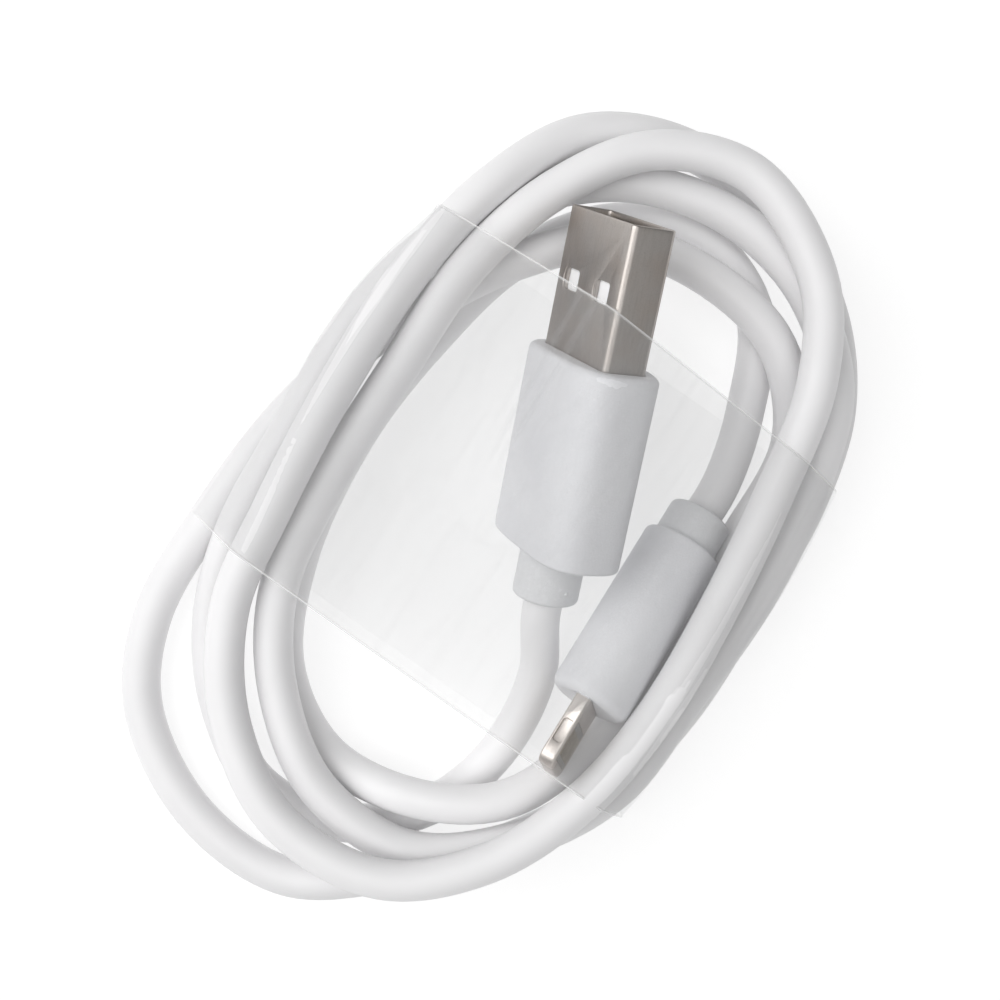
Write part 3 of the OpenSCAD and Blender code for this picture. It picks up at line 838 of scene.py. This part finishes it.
def plain_plastic(name, light, dark, roughness=0.4):
    """Plastic of one colour, a little cloudy."""
    scale = 900
    paint = Paint(name, light, roughness, Specular_IOR_Level=0.45)
    cloudy = paint.ranged(paint.noise(scale / 3, 3), (0.35, 0.7), (0, 1))
    paint.colour(paint.mixed(cloudy, light, dark))
    uneven = (roughness - 0.08, roughness + 0.1)
    paint.roughness(paint.ranged(paint.noise(scale, 2), (0.3, 0.7), uneven))
    paint.bump(paint.noise(scale * 3, 2), 0.01 * MM, 0.35)
    return paint.material


def metal(name, light, dark, roughness=0.3):
    """Small metal parts, a little cloudy."""
    scale = 1500
    paint = Paint(name, light, roughness, 1.0)
    cloudy = paint.ranged(paint.noise(scale / 2, 3), (0.35, 0.7), (0, 1))
    paint.colour(paint.mixed(cloudy, light, dark))
    uneven = (roughness - 0.07, roughness + 0.12)
    paint.roughness(paint.ranged(paint.noise(scale, 3), (0.3, 0.7), uneven))
    paint.bump(paint.noise(scale * 3, 2), 0.01 * MM, 0.4)
    return paint.material


def braid_paint():
    """The tinned braid round the wires."""
    paint = Paint("braid_tinned", (0.7, 0.7, 0.72), 0.35, 1.0)
    weave = paint.cells(2600)
    strands = paint.ranged(weave, (0.1, 0.5), (0, 1))
    paint.colour(paint.mixed(strands, (0.78, 0.78, 0.8), (0.4, 0.4, 0.42)))
    paint.bump(weave, 0.04 * MM, 0.6)
    return paint.material


def film_fold_highlight(paint, x, y, start_y, slope):
    """A faint straight streak over the wide plug, a painted highlight where the film folds; start_y
    is its Y in mm where X is 14 mm.
    """
    start_x = 14
    line = paint.maths("MULTIPLY", x, slope)
    off = paint.maths("SUBTRACT", paint.maths("SUBTRACT", y, line), (start_y - slope * start_x) * MM)
    streak_highlight = paint.ranged(paint.maths("ABSOLUTE", off), (0.05 * MM, 0.45 * MM), (0.06, 0))
    near_plug = paint.ranged(x, (4 * MM, 9 * MM), (0, 1))
    return paint.maths("MULTIPLY", streak_highlight, near_plug)


def film_paint():
    """Clear film: a thin haze drawn along it, painted highlights at its edges and on two folds,
    clearer low down.
    """
    tint, edge_highlight_colour = (0.5, 0.503, 0.507), (0.85, 0.85, 0.85)
    paint = Paint("film_clear", tint, 0.16, Specular_IOR_Level=0.11)
    drawn = paint.noise(1.0, 3, 0.5, paint.stretched((35, 420, 420)), 0.6)
    x, y, z = paint.axes()
    haze = paint.ranged(drawn, (0.45, 0.8), (0.085, 0.11))
    from_middle = paint.maths("ABSOLUTE", paint.maths("SUBTRACT", x, FILM_X * MM))
    # A thin strip at each edge of the band is more opaque, like a rolled edge, and is painted whiter
    # as a highlight that fades low down.
    edge_span = ((FILM_W / 2 - 0.32) * MM, (FILM_W / 2 - 0.12) * MM)
    at_edge = paint.ranged(from_middle, edge_span, (0, 1))
    paint.colour(paint.mixed(at_edge, tint, edge_highlight_colour))
    edge_highlight_strength = paint.ranged(z, (4 * MM, 8.5 * MM), (0.08, 0.25))
    total = paint.maths("ADD", haze, paint.maths("MULTIPLY", at_edge, edge_highlight_strength))
    # two painted highlights along folds of the film over the wide plug
    for start_y, slope in ((4.6, 0.06), (5.9, 0.1)):
        total = paint.maths("ADD", total, film_fold_highlight(paint, x, y, start_y, slope))
    off_floor = paint.ranged(z, (1.5 * MM, 7.5 * MM), (0.08, 1))
    paint.alpha(paint.maths("MULTIPLY", total, off_floor))
    paint.roughness(paint.ranged(drawn, (0.3, 0.7), (0.1, 0.24)))
    paint.bump(drawn, 0.1 * MM, 0.3)
    return paint.material


WHITE = jacket_paint()
GRIP = grip_paint("grip_fine_grain", (0.765, 0.768, 0.785), (0.72, 0.723, 0.745))
COLLAR = grip_paint("collar_fine_grain", (0.73, 0.735, 0.745), (0.685, 0.69, 0.70))
STEEL = steel_paint(
    "nickel_plate", light=(0.47, 0.443, 0.42), dark=(0.33, 0.305, 0.285),
    tint=(0.45, 0.395, 0.355), smoothest=0.31, roughest=0.4)
TAB = steel_paint(
    "tab_plate", light=(0.72, 0.68, 0.645), dark=(0.52, 0.485, 0.455),
    tint=(0.66, 0.61, 0.575), smoothest=0.42, roughest=0.54)
FILM = film_paint()
MOULD = plain_plastic("inner_mould_white", (0.8, 0.81, 0.82), (0.7, 0.71, 0.73), 0.5)
INSULATOR = plain_plastic("insulator_white", (0.93, 0.93, 0.93), (0.86, 0.86, 0.87), 0.38)
GOLD = metal("contact_gold", (0.86, 0.66, 0.32), (0.66, 0.47, 0.2), 0.26)
PALE_GOLD = metal("contact_pale_gold", (0.6, 0.545, 0.46), (0.45, 0.4, 0.33), 0.34)
FIELD = plain_plastic("contact_field_grey", (0.4, 0.385, 0.365), (0.33, 0.315, 0.3), 0.5)
SOLDER = metal("solder_tin", (0.72, 0.73, 0.75), (0.5, 0.51, 0.53), 0.32)
FOIL = metal("shield_can", (0.66, 0.66, 0.68), (0.5, 0.5, 0.52), 0.34)
BRAID = braid_paint()
BOARD = plain_plastic("board_green", (0.03, 0.17, 0.08), (0.02, 0.11, 0.05), 0.35)
CHIP = plain_plastic("chip_black", (0.03, 0.03, 0.033), (0.015, 0.015, 0.017), 0.5)
TAN = plain_plastic("component_tan", (0.5, 0.38, 0.25), (0.35, 0.26, 0.17), 0.45)
WIRE_PAINTS = {
    "wire_red": plain_plastic("wire_sleeve_red", (0.55, 0.03, 0.025), (0.42, 0.02, 0.02), 0.4),
    "wire_white": plain_plastic("wire_sleeve_white", (0.8, 0.8, 0.8), (0.7, 0.7, 0.7), 0.4),
    "wire_green": plain_plastic("wire_sleeve_green", (0.04, 0.3, 0.08), (0.03, 0.2, 0.05), 0.4),
    "wire_black": plain_plastic("wire_sleeve_black", (0.03, 0.03, 0.03), (0.015, 0.015, 0.015), 0.4),
}


def wear(piece, material):
    """Gives a piece its one material."""
    piece.data.materials.clear()
    piece.data.materials.append(material)


wear(cord, WHITE)
wear(braid, BRAID)
for wire_slot, piece in wires.items():
    wear(piece, WIRE_PAINTS[wire_slot])
wear(shell, STEEL)
for lip in shell_lips:
    wear(lip, STEEL)
wear(usb_grip, GRIP)
wear(usb_collar, COLLAR)
wear(gate_mark, COLLAR)
wear(phone_grip, GRIP)
wear(phone_collar, COLLAR)
wear(tab, TAB)
wear(film, FILM)

NODE_PAINTS = {
    "usb_insulator": INSULATOR,
    "usb_contact_vbus": GOLD,
    "usb_contact_data_minus": GOLD,
    "usb_contact_data_plus": GOLD,
    "usb_contact_ground": GOLD,
    "usb_wire_comb": INSULATOR,
    "usb_solder_joints": SOLDER,
    "usb_inner_mould": MOULD,
    "phone_contact_insulator": FIELD,
    "phone_contacts_upper": PALE_GOLD,
    "phone_contacts_lower": PALE_GOLD,
    "phone_circuit_board": BOARD,
    "phone_control_chip": CHIP,
    "phone_small_components": TAN,
    "phone_solder_joints": SOLDER,
    "phone_shield_upper": FOIL,
    "phone_shield_lower": FOIL,
    "phone_inner_mould": MOULD,
}
for node, material in NODE_PAINTS.items():
    for material_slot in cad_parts[node].material_slots:
        material_slot.material = material

# ---- floor, light and sky ---------------------------------------------------------------

FLOOR_HALF = 1.5
FLOOR_Z = -0.1 * MM


def make_floor():
    """A plain pale floor that glows a little, so that it stays white."""
    mesh = bpy.data.meshes.new("floor")
    corners = [(FLOOR_HALF * x, FLOOR_HALF * y, 0) for x, y in ((-1, -1), (1, -1), (1, 1), (-1, 1))]
    mesh.from_pydata(corners, [], [(0, 1, 2, 3)])
    piece = link("floor", mesh)
    piece.location.z = FLOOR_Z
    paint = Paint("floor_white", (0.38, 0.38, 0.38), 0.8, Specular_IOR_Level=0.1)
    paint.shader.inputs["Emission Color"].default_value = (1, 1, 1, 1)
    paint.shader.inputs["Emission Strength"].default_value = 0.68
    wear(piece, paint.material)
    return piece


floor = make_floor()


def area_light(name, location, size, power):
    """A round soft light that faces the middle of the scene; its power is in watts."""
    data = bpy.data.lights.new(name, "AREA")
    data.shape = "DISK"
    data.size = size
    data.energy = power
    lamp = bpy.data.objects.new(name, data)
    bpy.context.scene.collection.objects.link(lamp)
    lamp.location = location
    aim = -Vector(location)
    lamp.rotation_euler = aim.to_track_quat("-Z", "Y").to_euler()


area_light("key", (-0.11, 0.36, 0.44), size=0.7, power=3.0)
area_light("top", (-0.1, -0.1, 0.8), size=0.8, power=1.4)
area_light("fill", (-0.12, -0.38, 0.4), size=0.8, power=0.45)

world = bpy.data.worlds.new("studio")
world.use_nodes = True
background = world.node_tree.nodes["Background"]
background.inputs["Color"].default_value = (1, 1, 1, 1)
background.inputs["Strength"].default_value = 0.26
bpy.context.scene.world = world
bpy.context.scene.view_settings.view_transform = "Standard"

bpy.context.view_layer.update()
